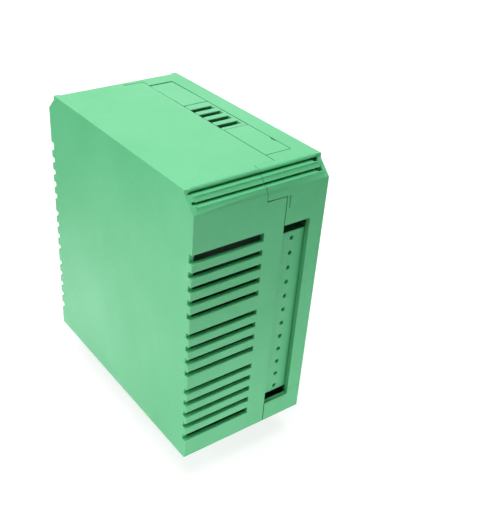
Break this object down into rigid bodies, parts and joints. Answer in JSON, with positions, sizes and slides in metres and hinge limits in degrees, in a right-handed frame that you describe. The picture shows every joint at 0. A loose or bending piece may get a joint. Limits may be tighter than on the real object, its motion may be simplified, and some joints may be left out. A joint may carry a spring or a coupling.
{
  "type": "din rail enclosure",
  "caption": "Empty two-shell plastic module housing for a 35 mm rail, with vented ends, blanking plates, a top vent comb and a sprung rail latch.",
  "frame": {"origin": "middle of the plane that the rail's flanges bear on, halfway along the body's width and length", "axes": "+X along the rail towards the narrow shell, +Y across the rail towards the latch's pull lug, +Z away from the rail"},
  "size_m": [0.045, 0.082, 0.1009],
  "materials": {
    "green_plastic": "fine matte moulded plastic",
    "spring_steel": "drawn wire"
  },
  "bodies": {
    "housing": {"left_shell": "green_plastic", "right_shell": "green_plastic", "near_terminal_plate": "green_plastic", "far_terminal_plate": "green_plastic", "top_plate_near": "green_plastic", "top_vent_comb": "green_plastic", "top_plate_far": "green_plastic", "latch_spring": "spring_steel"},
    "latch": {"foot_latch": "green_plastic"}
  },
  "joints": [
    {"name": "latch_slide", "type": "slide", "parent": "housing", "child": "latch", "axis": [0, 1, 0], "range_m": [0, 0.003], "stiffness_N_per_m": 500, "springref_m": -0.003, "deforming": ["latch_spring"]}
  ]
}
